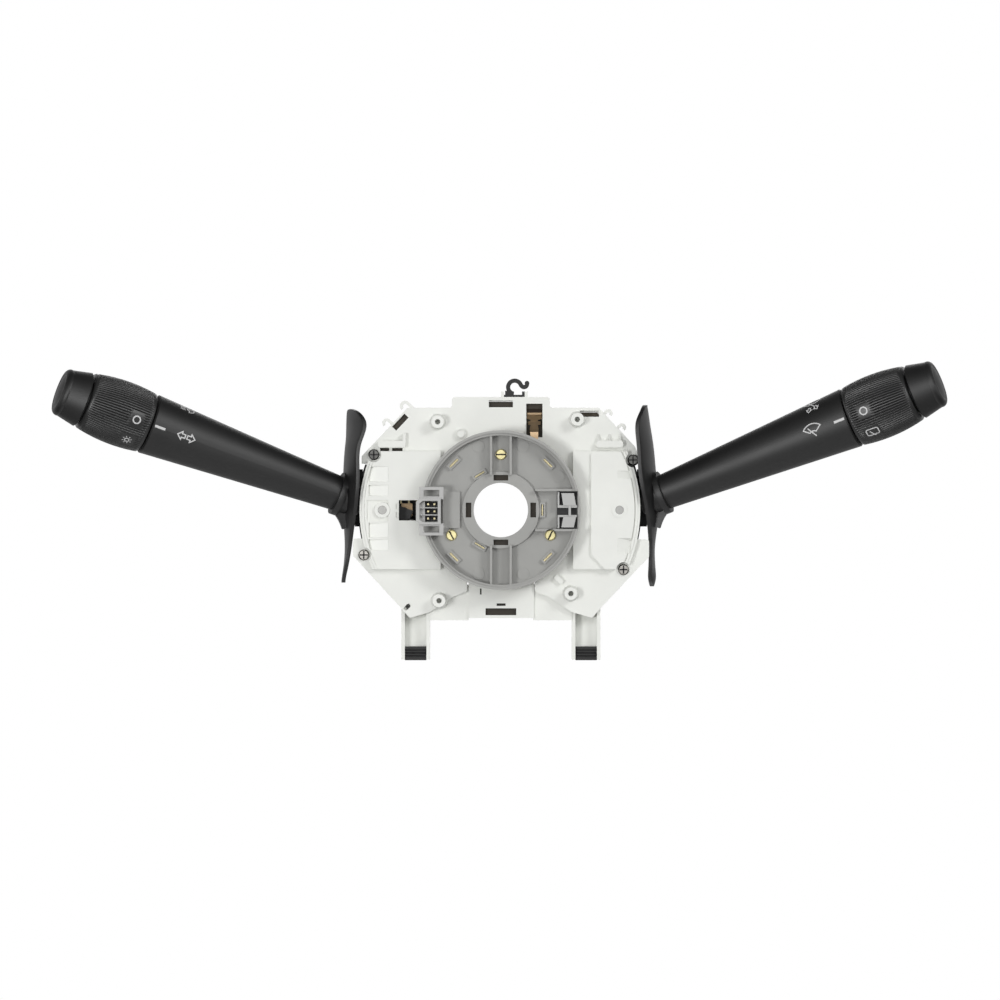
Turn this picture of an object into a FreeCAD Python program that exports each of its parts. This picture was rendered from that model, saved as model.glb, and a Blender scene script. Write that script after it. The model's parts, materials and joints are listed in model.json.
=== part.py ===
import FreeCAD, Part
import math
import os
from FreeCAD import Matrix, Placement, Vector

# Steering-column combination switch, in millimetres.
# X runs to the driver's right, Z up and Y away from the driver.
# The origin lies on the steering-column axis, inside the column sleeve.

# Clearances
run_gap = 0.05
free_gap = 0.3
hole_gap = 0.15

# Carrier plate and its skirt
plate_front = -6.0
plate_thick = 2.5
skirt_back = 20.0
skirt_wall = 1.8
skirt_reach = 58.5
top_half = 22.0
top_z = 50.8
shoulder_z = 46.0
left_shoulder = -42.0
right_shoulder = 44.1
left_corner = (-62.6, 24.2)
right_corner = (60.2, 28.6)
corner_drop = 5.5
corner_step = 2.4
waist_x = 56.0
corner_round = 1.2

# Lower wings, measured outwards and down
left_wing_x = -66.5
right_wing_x = 66.6
left_wing_top = -12.8
right_wing_top = -13.2
left_wing_z = -20.6
right_wing_z = -21.1
wing_tip_x = 41.0
wing_tip_z = -48.5
wing_inner_x = 15.2
wing_inner_z = -36.6

# Column sleeve
sleeve_bore = 13.5
sleeve_outer = 16.0
sleeve_front = -11.0
sleeve_back = 30.0
rib_thick = 1.6
rib_back = 10.0
rib_reach = 23.4

# Bosses for the cowl screws
boss_radius = 2.85
boss_hole = 1.2
boss_front = -13.0
boss_depth = 10.0
boss_places = ((-28.4, 39.6), (34.3, 40.7), (-27.8, -40.7), (31.4, -37.5))
dome_place = (-18.0, 34.1)
dome_radius = 2.45
dome_height = 2.0

# Raised bars above the cassettes
left_bar = (-55.3, -42.8)
right_bar = (42.8, 55.0)
bar_ribs = (43.8, 48.9, 53.6)
bar_top = 31.2
bar_tall = 3.1
bar_high = 3.4

# Cable hook on the top edge, and a tab under the disc
hook_left = 1.4
hook_right = 10.7
hook_front = plate_front + 0.6
hook_back = hook_front + 3.2
hook_radius = 3.9
hook_wire = 1.9
cheek_wide = 1.3
cheek_tall = 2.5
tab_place = (26.0, -31.2)

# Lower panel, boxes and legs
panel_half = 14.5
panel_bottom = -48.6
panel_top = -28.0
panel_front = -4.2
panel_thick = 2.2
box_outer = 31.9
box_bottom = -49.6
box_front = -2.8
box_back = 14.0
leg_outer = 44.8
leg_wall = 1.6
leg_bottom = -67.3
leg_front = -2.0
leg_back = 12.0
leg_floor = 3.6
leg_scoop = 1.4
pad_height = 5.9

# Switch cassettes
left_pivot = -53.3
right_pivot = 53.3
left_arc = 63.5
right_arc = 62.6
cover_front = -10.0
cover_wall = 2.4
cover_top = 26.4
cover_bottom = -26.6
left_cover_inner = -27.0
right_cover_inner = 32.4
right_step_x = 40.5
right_step_rise = 1.6
rim_inset = 1.1
rim_rise = 0.8
base_arc_step = 0.9
base_step_front = -4.2
flange_rim = 2.0
flange_radius = max(left_arc, right_arc) + base_arc_step + flange_rim
flange_low = -7.5
flange_high = 18.4
base_half = 20.5
base_back = 24.0
base_wall = 2.0
base_inner = 33.0
mouth_half = 15.5
mouth_front = -5.1
mouth_back = 20.0
pin_radius = 1.9
pin_grip = 4.5
pivot_ring = 3.5

# Socket and blade pins behind each cassette
socket_wall = 1.5
socket_half_x = 8.0
socket_half_z = 8.5
socket_depth = 10.0
socket_centre = 41.5
blade_width = 2.8
blade_thick = 0.8
blade_pitch_x = 3.6
blade_row_z = 4.2
ledge_front = 15.5
ledge_reach = 4.4

# Cassette screws
screw_head = 2.45
screw_head_high = 1.8
screw_shank = 1.4
screw_length = 8.0
screw_lug = 2.7
lug_depth = 2.2
upper_screws = ((-57.1, 24.9), (59.4, 22.5))
lower_screws = ((-61.6, -20.2), (55.1, -26.8))

# Stalks, measured along the stalk axis from its pivot
left_rise = 20.3
right_rise = 21.8
stalk_lean = 12.0
pivot_depth = 6.0
tongue_half = 3.0
tongue_tall = 5.0
neck_radius = 6.0
neck_start = 10.5
collar_start = 20.0
lever_start = 22.6
lever_end = 114.4
lever_root = 7.95
lever_head = 13.7
ring_gap = 0.7
ring_end = 144.6
ring_crown = 14.7
ring_tail = 12.9
spigot_radius = 9.0
cap_gap = 1.0
cap_start_radius = 12.6
cap_end_radius = 10.8
stalk_end = 158.0
cap_round = 3.6
cap_dome = 0.8
stem_radius = 3.0
stem_length = 16.0

# Rockers
rocker_radius = 6.5
rocker_tail = 13.0
rocker_tail_half = 4.5
cross_radius = 1.5
plunger_radius = 1.9
cam_radius = 17.4
detent_step = 4.5

# Closing blades on the stalk roots
leaf_thick = 1.6
collar_radius = 9.8
hub_radius = 7.8
hub_start = 16.5
gusset_bend = (17.6, -11.0)
gusset_tip = (14.4, -14.4)

# Slip-ring rotor
rotor_radius = 35.7
rotor_wall = 1.1
rotor_front = -23.0
rotor_floor = -14.0
rotor_back = -12.0
rotor_bore = 12.2
hub_ring = 17.25
hub_front = -16.6
rib_half = 4.4
rib_front = -20.5
side_rib_half = 9.0
rotor_skirt = 18.0
rotor_skirt_back = -7.0
screw_circle = 24.9
outer_slots = 29.8
inner_slots = 18.6
hub_window = 14.5
frame_long = 6.8
slot_long = 5.0
slip_inner = 29.0
slip_outer = 34.4
slip_thick = 0.8

# Connector and clip on the rotor
connector_left = -rotor_radius - 2.3
connector_right = connector_left + 11.1
connector_low = -6.4
connector_high = 5.3
connector_front = -27.0
cell_floor = -17.0
clip_inner = rotor_radius - 10.3
clip_outer = rotor_radius - 1.3
clip_foot = -15.0
low_rim = -17.5

plate_back = plate_front + plate_thick
ring_start = lever_end + ring_gap
cap_start = ring_end + cap_gap


def block(x0, x1, y0, y1, z0, z1):
    return Part.makeBox(x1 - x0, y1 - y0, z1 - z0, Vector(x0, y0, z0))


def drum(x, z, radius, y0, y1):
    return Part.makeCylinder(radius, y1 - y0, Vector(x, y0, z), Vector(0, 1, 0))


def tube(x, z, outer, inner, y0, y1):
    return drum(x, z, outer, y0, y1).cut(drum(x, z, inner, y0, y1))


def taper(x, z, radius0, radius1, y0, y1):
    return Part.makeCone(radius0, radius1, y1 - y0, Vector(x, y0, z), Vector(0, 1, 0))


# A closed outline in the XZ plane with its corners rounded by arcs
def outline(points, radius, y):
    corners = []
    count = len(points)
    for i in range(count):
        before = Vector(points[i - 1][0], y, points[i - 1][1])
        corner = Vector(points[i][0], y, points[i][1])
        after = Vector(points[(i + 1) % count][0], y, points[(i + 1) % count][1])
        side_a = before - corner
        side_b = after - corner
        half = side_a.getAngle(side_b) / 2
        back = min(radius / math.tan(half), 0.45 * side_a.Length, 0.45 * side_b.Length)
        side_a.normalize()
        side_b.normalize()
        middle = side_a + side_b
        middle.normalize()
        reach = back * (1 / math.cos(half) - math.tan(half))
        corners.append((corner + side_a * back, corner + middle * reach, corner + side_b * back))
    edges = []
    for i in range(count):
        edges.append(Part.Arc(*corners[i]).toShape())
        edges.append(Part.LineSegment(corners[i][2], corners[(i + 1) % count][0]).toShape())
    return Part.Wire(edges)


def slab(points, y0, y1, radius=0.0):
    if radius > 0:
        wire = outline(points, radius, y0)
    else:
        ring = [Vector(x, y0, z) for x, z in points]
        wire = Part.makePolygon(ring + ring[:1])
    return Part.Face(wire).extrude(Vector(0, y1 - y0, 0))


# A block that lies across a radius of the disc, turned to the given angle
def turned_block(distance, angle, along, across, y0, y1):
    shape = block(distance - across / 2, distance + across / 2, y0, y1, -along / 2, along / 2)
    shape.rotate(Vector(0, 0, 0), Vector(0, 1, 0), -angle)
    return shape


def join(first, others):
    return first.multiFuse(others).removeSplitter()


def group(shapes):
    return Part.makeCompound(shapes)


# Local stalk frame: X along the stalk, Z the tilt axis, Y across both
def stalk_frame(side):
    rise = math.radians(left_rise if side < 0 else right_rise)
    lean = math.radians(stalk_lean)
    along = Vector(side * math.cos(rise) * math.cos(lean), -math.sin(lean),
                   math.sin(rise) * math.cos(lean))
    tilt = Vector(-side * math.sin(rise), 0, math.cos(rise))
    across = tilt.cross(along)
    pivot = left_pivot if side < 0 else right_pivot
    return Placement(Matrix(along.x, across.x, tilt.x, pivot,
                            along.y, across.y, tilt.y, pivot_depth,
                            along.z, across.z, tilt.z, 0,
                            0, 0, 0, 1))


# Local rocker frame: the same without the lean, so X lies in the XZ plane
def rocker_frame(side):
    rise = math.radians(left_rise if side < 0 else right_rise)
    along = Vector(side * math.cos(rise), 0, math.sin(rise))
    tilt = Vector(-side * math.sin(rise), 0, math.cos(rise))
    across = tilt.cross(along)
    pivot = left_pivot if side < 0 else right_pivot
    return Placement(Matrix(along.x, across.x, tilt.x, pivot,
                            along.y, across.y, tilt.y, pivot_depth,
                            along.z, across.z, tilt.z, 0,
                            0, 0, 0, 1))


def placed(shape, frame):
    moved = shape.copy()
    moved.Placement = frame.multiply(moved.Placement)
    return moved


# A turned piece about the stalk axis from a list of edges in the XY plane
def turned(edges):
    face = Part.Face(Part.Wire(edges))
    return face.revolve(Vector(0, 0, 0), Vector(1, 0, 0), 360)


def line(a, b):
    return Part.LineSegment(Vector(a[0], a[1], 0), Vector(b[0], b[1], 0)).toShape()


def arc(a, b, c):
    return Part.Arc(Vector(a[0], a[1], 0), Vector(b[0], b[1], 0), Vector(c[0], c[1], 0)).toShape()


def rod(x0, x1, radius):
    return Part.makeCylinder(radius, x1 - x0, Vector(x0, 0, 0), Vector(1, 0, 0))


def plate_outline():
    return [(-top_half, top_z), (top_half, top_z), (top_half, shoulder_z),
            (right_shoulder, shoulder_z), right_corner,
            (right_corner[0] + corner_step, right_corner[1] - corner_drop),
            (waist_x, right_wing_top + 8), (waist_x, right_wing_top),
            (right_wing_x, right_wing_top),
            (right_wing_x, right_wing_z), (wing_tip_x + 3.5, wing_tip_z + 4.0),
            (wing_tip_x, wing_tip_z), (wing_tip_x - 9, wing_tip_z + 2.6),
            (wing_inner_x + 6, wing_inner_z - 2.3), (wing_inner_x, wing_inner_z),
            (wing_inner_x, panel_top), (-wing_inner_x, panel_top),
            (-wing_inner_x, wing_inner_z), (-wing_inner_x - 6, wing_inner_z - 2.3),
            (-wing_tip_x + 9, wing_tip_z + 2.6), (-wing_tip_x, wing_tip_z),
            (-wing_tip_x - 3.5, wing_tip_z + 4.0), (left_wing_x, left_wing_z),
            (left_wing_x, left_wing_top), (-waist_x, left_wing_top),
            (-waist_x, left_wing_top + 8),
            (left_corner[0], left_corner[1] - corner_drop), left_corner,
            (left_shoulder, shoulder_z), (-top_half, shoulder_z)]


# Room in the carrier for a cassette base, open to the outside
def base_room(side):
    inner = base_inner - free_gap
    half = base_half + free_gap
    room = block(inner, right_wing_x + 20, plate_front - 1, skirt_back + 1, -half, half)
    if side < 0:
        room = room.mirror(Vector(0, 0, 0), Vector(1, 0, 0))
    top = left_wing_top if side < 0 else right_wing_top
    wing = block(waist_x, right_wing_x + 1, plate_front - 2, plate_back, -half - 1, top)
    if side < 0:
        wing = wing.mirror(Vector(0, 0, 0), Vector(1, 0, 0))
    return room.cut(wing)


def leg(side):
    outer = side * leg_outer
    inner = side * box_outer
    low_x = min(outer, inner)
    high_x = max(outer, inner)
    body = block(low_x, high_x, leg_front, leg_back, leg_bottom, wing_tip_z + 12)
    top = wing_tip_z + 10
    hollow = Part.Face(Part.Wire([
        line_yz(leg_front - 1, leg_bottom - 1, leg_front - 1, top),
        line_yz(leg_front - 1, top, leg_floor, top),
        arc_yz((leg_floor, top), (leg_floor + leg_scoop, (top + leg_bottom) / 2),
               (leg_floor, leg_bottom - 1)),
        line_yz(leg_floor, leg_bottom - 1, leg_front - 1, leg_bottom - 1)]))
    hollow.translate(Vector(low_x + leg_wall, 0, 0))
    channel = hollow.extrude(Vector(high_x - low_x - 2 * leg_wall, 0, 0))
    back = block(low_x, high_x, leg_back - 2.5, leg_back + 1, leg_bottom - 1, leg_bottom + 8)
    return body.cut(channel).cut(back)


def line_yz(y0, z0, y1, z1):
    return Part.LineSegment(Vector(0, y0, z0), Vector(0, y1, z1)).toShape()


def arc_yz(a, b, c):
    return Part.Arc(Vector(0, *a), Vector(0, *b), Vector(0, *c)).toShape()


# Harness finger: a post on the plate's edge that ends in a hook
def finger(x, z, angle, length, curl):
    post = block(-0.7, 0.7, plate_back - 1.5, plate_back + 2.5, -1.5, length)
    head = tube(curl, length, abs(curl) + 0.7, abs(curl) - 0.7, plate_back - 1.5, plate_back + 2.5)
    above = block(-8, 8, plate_back - 2, plate_back + 3, length, length + 8)
    shape = join(post, [head.common(above)])
    shape.rotate(Vector(0, 0, 0), Vector(0, 1, 0), angle)
    shape.translate(Vector(x, 0, z))
    return shape


windows = (
    ((-5.4, 46.2), (5.4, 49.3)),
    ((35.6, 41.9), (44.1, 44.7)),
    ((11.4, 32.7), (18.7, 47.8)),
)


def corner_window(y0, y1, shrink):
    half_long = 4.05 - shrink
    half_wide = 1.3 - shrink
    shape = block(-half_long, half_long, y0, y1, -half_wide, half_wide)
    shape.rotate(Vector(0, 0, 0), Vector(0, 1, 0), -46.6)
    shape.translate(Vector(-45.2, 0, 39.5))
    return shape


# Small gusset that stands on the right bar
def bar_rib(x):
    ring = [Vector(x - 0.5, plate_front, bar_top - 1), Vector(x - 0.5, plate_front, bar_top + 3),
            Vector(x - 0.5, plate_front - bar_high + 0.8, bar_top),
            Vector(x - 0.5, plate_front - bar_high + 0.8, bar_top - 1)]
    return Part.Face(Part.makePolygon(ring + ring[:1])).extrude(Vector(1.0, 0, 0))


def make_carrier():
    shape = slab(plate_outline(), plate_front, plate_back, corner_round)
    outer = slab(plate_outline(), plate_back, skirt_back, corner_round)
    hollow = Part.Face(outline(plate_outline(), corner_round, plate_back))
    hollow = hollow.makeOffset2D(-skirt_wall).extrude(Vector(0, skirt_back - plate_back, 0))
    reach = block(-skirt_reach, skirt_reach, plate_back, skirt_back, -80, 80)
    brackets = [screw_bracket(x, z, math.copysign(1, x), free_gap)
                for x, z in upper_screws + lower_screws]
    skirt = outer.cut(hollow).common(reach).cut(brackets)
    additions = [skirt, drum(0, 0, sleeve_outer, sleeve_front, sleeve_back)]
    for angle in (52, 90, 128, 232, 270, 308):
        rib = block(sleeve_outer - 1, rib_reach, plate_back, rib_back,
                    -rib_thick / 2, rib_thick / 2)
        rib.rotate(Vector(0, 0, 0), Vector(0, 1, 0), -angle)
        additions.append(rib)
    for x, z in boss_places:
        additions.append(drum(x, z, boss_radius, boss_front, rib_back))
        additions.append(taper(x, z, boss_radius, boss_radius + 0.9, plate_front - 2, plate_front))
    additions.append(drum(dome_place[0], dome_place[1], dome_radius, plate_front - dome_height,
                          plate_front))
    additions.append(taper(dome_place[0], dome_place[1], dome_radius - 1.0, dome_radius - 0.1,
                           plate_front - dome_height - 0.8, plate_front - dome_height))
    additions.append(block(-panel_half, panel_half + 0.4, panel_front,
                           panel_front + panel_thick, panel_bottom, panel_top))
    for side in (-1, 1):
        low = min(side * box_outer, side * panel_half)
        high = max(side * box_outer, side * panel_half)
        case = block(low, high, box_front, box_back, box_bottom, wing_inner_z + 3)
        room = block(low + 2, high - 2, box_front + 2, box_back + 1, box_bottom + 2,
                     wing_inner_z + 1)
        additions.append(case.cut(room))
        additions.append(leg(side))
    for x0, x1 in ((hook_left - cheek_wide, hook_left), (hook_right, hook_right + cheek_wide)):
        additions.append(block(x0, x1, plate_front, hook_back + 1.0, top_z - 1, top_z + cheek_tall))
    tab = block(-2.2, 2.2, plate_front - 2.6, plate_front, -1.1, 1.1)
    tab.rotate(Vector(0, 0, 0), Vector(0, 1, 0), 45)
    tab.translate(Vector(tab_place[0], 0, tab_place[1]))
    additions.append(tab)
    for x0, x1 in (left_bar, right_bar):
        bar = slab([(x0, bar_top - bar_tall), (x1, bar_top - bar_tall), (x1, bar_top),
                    (x0, bar_top)], plate_front - bar_high, plate_front, 1.5)
        additions.append(bar)
    for x in bar_ribs:
        additions.append(bar_rib(x))
    additions.append(block(left_bar[1] - 1.2, left_bar[1], plate_front - bar_high, plate_front,
                           bar_top - bar_tall, bar_top + 3.2))
    additions.append(finger(-39.6, shoulder_z - 0.3, -45, 3.2, -1.7))
    additions.append(finger(-48.6, 38.4, -45, 2.4, -1.4))
    additions.append(finger(46.4, 43.2, 45, 1.6, 1.2))
    additions.append(finger(52.4, 36.8, 45, 1.6, 1.2))
    shape = join(shape, additions)

    cuts = [drum(0, 0, sleeve_bore, sleeve_front - 1, sleeve_back + 1)]
    for side in (-1, 1):
        cuts.append(base_room(side))
    for x, z in boss_places:
        cuts.append(drum(x, z, boss_hole, boss_front - 1, boss_front + boss_depth))
    for low, high in windows:
        cuts.append(block(low[0], high[0], plate_front - 4, plate_back + 1, low[1], high[1]))
    cuts.append(corner_window(plate_front - 1, plate_back + 4, 0.0))
    cuts.append(block(-6.9, 6.9, panel_front - 1, panel_front + panel_thick + 1, -47.3, -44.2))
    cuts.append(block(-1.9, 2.1, panel_front - 1, panel_front + panel_thick + 1, -43.1, -42.0))
    cuts.append(block(-9.4, -8.7, panel_front - 1, panel_front + panel_thick + 1, -38.0, -35.3))
    drop = slab([(-44.0, -44.2), (-41.6, -41.8), (-40.3, -43.1), (-42.7, -45.5)],
                plate_front - 1, plate_back + 1, 1.0)
    cuts.append(drop)
    for x0, x1 in ((left_bar[0] + 1.0, left_bar[0] + 5.1),
                   (left_bar[0] + 6.4, left_bar[1] - 1.4)):
        cuts.append(block(x0, x1, plate_front - 1, plate_back + 1, cover_top + 0.1,
                          bar_top - bar_tall - 0.2))
    for x, z in upper_screws + lower_screws:
        cuts.append(drum(x, z, screw_shank + hole_gap, plate_front - 1, plate_back + 1))
    return shape.cut(cuts).removeSplitter()


# Brown insulating board close behind the plate, seen through its windows
def make_board():
    gap = skirt_wall + free_gap
    front = plate_back + free_gap
    back = front + 1.6
    face = Part.Face(outline(plate_outline(), corner_round, front)).makeOffset2D(-gap)
    board = face.extrude(Vector(0, back - front, 0))
    board = board.common(block(-skirt_reach + 2, skirt_reach - 2, front, back, 24, top_z))
    board = join(board, [corner_window(front, back, run_gap)])
    cuts = []
    for x, z in boss_places:
        cuts.append(drum(x, z, boss_radius + free_gap, front - 1, back + 1))
    for x, z in upper_screws:
        cuts.append(drum(x, z, screw_lug + free_gap, front - 1, back + 1))
    return board.cut(cuts)


# Dark board behind the middle panel's openings
def make_lower_board():
    back = panel_front + panel_thick
    return block(-10.5, 9.0, back, back + 1.2, panel_bottom + 0.9, panel_bottom + 15)


def d_shape(radius, inner, low, high, y0, y1, side):
    disc = drum(0, 0, radius, y0, y1)
    body = disc.common(block(inner, radius + 1, y0, y1, low, high))
    if side < 0:
        body = body.mirror(Vector(0, 0, 0), Vector(1, 0, 0))
    return body


# A pocket in the cover's front that deepens towards the outer arc
def wedge(x_inner, x_outer, low, high, side):
    deep = cover_front + cover_wall - 0.7
    inner = side * x_inner
    outer = side * x_outer
    ring = [Vector(inner, cover_front - 0.5, low), Vector(outer, cover_front - 0.5, low),
            Vector(outer, deep, low), Vector(inner, cover_front + 0.1, low)]
    return Part.Face(Part.makePolygon(ring + ring[:1])).extrude(Vector(0, 0, high - low))


def make_cover(side):
    arc_radius = left_arc if side < 0 else right_arc
    inner = -left_cover_inner if side < 0 else right_cover_inner
    pivot = left_pivot if side < 0 else right_pivot
    shell = d_shape(arc_radius, inner, cover_bottom, cover_top, cover_front, plate_front, side)
    room = d_shape(arc_radius - cover_wall, base_inner + base_wall, -base_half + base_wall,
                   base_half - base_wall, cover_front + cover_wall, plate_front, side)
    parts = [tube(pivot, 0, pivot_ring, pin_radius + run_gap, cover_front - 0.6, cover_front + 1)]
    if side > 0:
        raised = slab([(right_step_x, cover_top - 0.3), (60, cover_top - 0.3),
                       (60, cover_bottom), (46.7, cover_bottom), (right_step_x, -20.0)],
                      cover_front - right_step_rise, cover_front, 1.5)
        disc = drum(0, 0, right_arc - 2.6, cover_front - right_step_rise, cover_front)
        parts = [raised.common(disc),
                 tube(pivot, 0, pivot_ring, pin_radius + run_gap,
                      cover_front - right_step_rise - 0.6, cover_front)]
    rim = tube(0, 0, arc_radius - rim_inset, arc_radius - rim_inset - 1.0,
               cover_front - rim_rise, cover_front)
    rim = rim.common(d_shape(arc_radius, base_inner, cover_bottom, cover_top,
                             cover_front - rim_rise, cover_front, side))
    shell = join(shell, parts + [rim])
    cuts = [room, drum(pivot, 0, pin_radius + run_gap, cover_front - 4, cover_front + 4)]
    if side < 0:
        cuts.append(block(-45.8, -36.9, cover_front - 1, cover_front + 4, -4.7, 4.4))
        for low, high in ((0.5, 2.8), (-3.3, -1.0)):
            cuts.append(block(-47.1, -45.0, cover_front - 1, cover_front + 0.9, low, high))
        for low, high in ((12.7, 19.5), (6.4, 11.2), (-12.2, -5.8), (-18.0, -13.2)):
            cuts.append(wedge(50.6, 59.4, low, high, side))
        arch = block(-60.2, -50.6, cover_front - 1, cover_front + 1.0, -4.9, 4.4)
        cuts.append(arch.cut(drum(pivot, 0, pivot_ring, cover_front - 1, cover_front + 1.0)))
    else:
        for low, high in ((14.2, 17.6), (-19.5, -12.7)):
            pocket = wedge(52.4, 58.4, low, high, side)
            pocket.translate(Vector(0, -right_step_rise, 0))
            cuts.append(pocket)
    for x, z in upper_screws + lower_screws:
        cuts.append(drum(x, z, screw_head + free_gap + 0.6, cover_front - 4, plate_front))
    return shell.cut(cuts).removeSplitter()


def blade_places(side):
    places = []
    for column in (-1, 0, 1):
        for row in (-1, 1):
            places.append((side * (socket_centre + column * blade_pitch_x), row * blade_row_z))
    return places


def blade_pin(x, z, grow=0.0):
    half_x = blade_thick / 2 + grow
    half_z = blade_width / 2 + grow
    end = base_back + socket_depth - 2.5
    return block(x - half_x, x + half_x, ledge_front, end, z - half_z, z + half_z)


def make_base(side):
    arc_radius = (left_arc if side < 0 else right_arc) + base_arc_step
    pivot = left_pivot if side < 0 else right_pivot
    rise = left_rise if side < 0 else right_rise
    body = d_shape(arc_radius, base_inner, -base_half, base_half, plate_front, base_back, side)
    lip = drum(0, 0, arc_radius + 1, plate_front - 1, base_step_front)
    body = body.cut(lip.cut(drum(0, 0, arc_radius - base_arc_step, plate_front - 2, base_back)))
    room = d_shape(arc_radius - base_wall, base_inner + base_wall, -base_half + base_wall,
                   base_half - base_wall, plate_front - 1, base_back - base_wall, side)
    body = body.cut(room)
    additions = [drum(pivot, 0, pin_radius + 2.2, mouth_back + 1.4, base_back),
                 d_shape(flange_radius, arc_radius - base_wall, flange_low, flange_high,
                         base_back - base_wall, base_back, side)]
    ledge_low = min(side * (base_inner + base_wall), side * (socket_centre + ledge_reach))
    ledge_high = max(side * (base_inner + base_wall), side * (socket_centre + ledge_reach))
    additions.append(block(ledge_low, ledge_high, ledge_front + 0.4, base_back - base_wall,
                           -blade_row_z - 3, blade_row_z + 3))
    cam = tube(pivot, 0, cam_radius + 4.0, cam_radius, 0.0, base_back - base_wall)
    cam = cam.common(d_shape(arc_radius, base_inner, -10, 10, 0.0, base_back - base_wall, side))
    half_plane = block(min(pivot, 0), max(pivot, 0), 0.0, base_back, -10, 10)
    cam = cam.common(half_plane)
    additions.append(cam)
    centre = side * socket_centre
    socket = block(centre - socket_half_x, centre + socket_half_x, base_back,
                   base_back + socket_depth, -socket_half_z, socket_half_z)
    mouth = block(centre - socket_half_x + socket_wall, centre + socket_half_x - socket_wall,
                  base_back, base_back + socket_depth + 1, -socket_half_z + socket_wall,
                  socket_half_z - socket_wall)
    additions.append(socket.cut(mouth))
    top = left_wing_top if side < 0 else right_wing_top
    step_cut = block(waist_x - free_gap, right_wing_x, plate_front - 1, plate_back,
                     -base_half - 1, top + free_gap)
    if side < 0:
        step_cut = step_cut.mirror(Vector(0, 0, 0), Vector(1, 0, 0))
    body = body.cut(step_cut)
    for x, z in upper_screws + lower_screws:
        if x * side > 0:
            additions.append(screw_bracket(x, z, side, 0.0))
    body = join(body, additions)
    cuts = [drum(pivot, 0, pin_radius + run_gap, mouth_back, base_back + 1)]
    reach = arc_radius - base_wall - 4
    cuts.append(block(min(side * reach, side * 80), max(side * reach, side * 80), mouth_front,
                      mouth_back, -mouth_half, mouth_half))
    rest_angle = 180 - rise if side > 0 else rise
    for stop in (-2, -1, 0, 1, 2):
        angle = math.radians(rest_angle + stop * detent_step)
        x = pivot + cam_radius * math.cos(angle)
        z = -cam_radius * math.sin(angle)
        cuts.append(drum(x, z, 0.9, -1, ledge_front - 2))
    for x, z in upper_screws + lower_screws:
        cuts.append(drum(x, z, screw_shank + run_gap, plate_front - 1,
                         plate_front + screw_length + 1))
    for x, z in blade_places(side):
        cuts.append(blade_pin(x, z))
    return body.cut(cuts).removeSplitter()


# Lug behind the plate that a cassette screw bites into, with its web to the base
def screw_bracket(x, z, side, grow):
    depth = lug_depth if abs(z) < base_half else screw_length - plate_thick + 1
    lug = drum(x, z, screw_lug + grow, plate_back, plate_back + depth)
    foot_z = math.copysign(base_half - 1, z)
    foot_x = x - side * 3.0
    half = screw_lug - 0.4 + grow
    web = slab([(x - half, z), (foot_x - half, foot_z), (foot_x + half, foot_z), (x + half, z)],
               plate_back, plate_back + depth)
    return join(lug, [web])


def make_pins(side):
    return group([blade_pin(x, z) for x, z in blade_places(side)])


# Pan-head screw with a cross recess, its head on the plate's front
def cross_screw(x, z):
    head_front = plate_front - screw_head_high
    head = taper(x, z, screw_head - 0.5, screw_head, head_front, head_front + 0.7)
    head = join(head, [drum(x, z, screw_head, head_front + 0.7, plate_front)])
    arm = 0.75 * screw_head
    cross = [block(x - arm, x + arm, head_front - 1, head_front + 1.0, z - 0.35, z + 0.35),
             block(x - 0.35, x + 0.35, head_front - 1, head_front + 1.0, z - arm, z + arm)]
    shank = drum(x, z, screw_shank, plate_front, plate_front + screw_length)
    return join(head.cut(cross), [shank])


def make_screws(places):
    return group([cross_screw(x, z) for x, z in places])


# Brass strip bent down from its seat in the window to the slip ring
def make_contact_finger():
    thick = 0.5
    seat = plate_back + free_gap
    lift = rotor_back + slip_thick + free_gap
    side_view = [(seat - thick, 45.5), (seat - thick, 43.0), (plate_front - 1.5, 39.5),
                 (lift, 35.0), (lift, 31.0), (lift + thick, 31.0), (lift + thick, 35.2),
                 (plate_front - 1.0, 39.8), (seat, 43.3), (seat, 45.5)]
    ring = [Vector(8, y, z) for y, z in side_view]
    strip = Part.Face(Part.makePolygon(ring + ring[:1])).extrude(Vector(14, 0, 0))
    plan = [(11.8, 45.5), (11.8, 40.9), (13.4, 40.5), (13.4, 39.9), (12.3, 39.7), (12.3, 38.4),
            (13.4, 38.2), (12.9, 36.4), (13.6, 31.0), (16.6, 31.0), (16.9, 36.4), (16.6, 38.2),
            (17.8, 38.4), (17.8, 39.7), (16.7, 39.9), (16.7, 40.5), (18.3, 40.9), (18.3, 45.5)]
    return strip.common(slab(plan, lift - 1, seat + 1))


# Open cable hook that clips on the carrier's top edge
def make_cable_hook():
    centre_x = hook_left + 4.8
    centre_z = top_z + 4.4
    foot = top_z + 1.0
    base = block(hook_left, hook_right, hook_front - 0.6, hook_back + 0.6, top_z, foot)
    root = block(hook_left + 0.5, hook_left + 3.4, hook_front, hook_back, foot - 0.1, top_z + 2.8)
    stop = block(hook_right - 1.2, hook_right, hook_front, hook_back, foot - 0.1, top_z + 2.5)
    loop = tube(centre_x, centre_z, hook_radius, hook_radius - hook_wire, hook_front, hook_back)
    gate = slab([(centre_x, centre_z), (centre_x - 0.9, foot - 4), (centre_x + 10, foot - 4),
                 (centre_x + 10, centre_z + 1.5)], hook_front - 1, hook_back + 1)
    turn_x = centre_x + hook_radius + 0.3
    turn_z = centre_z + 1.4
    turn = tube(turn_x, turn_z, hook_wire + 0.4, 0.4, hook_front, hook_back)
    turn = turn.common(block(turn_x - 3, turn_x + 3, hook_front, hook_back, turn_z - 4, turn_z))
    ball = drum(turn_x + 1.35, turn_z + 0.4, 1.05, hook_front, hook_back)
    return join(base, [root, stop, loop.cut(gate), turn, ball])


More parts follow.
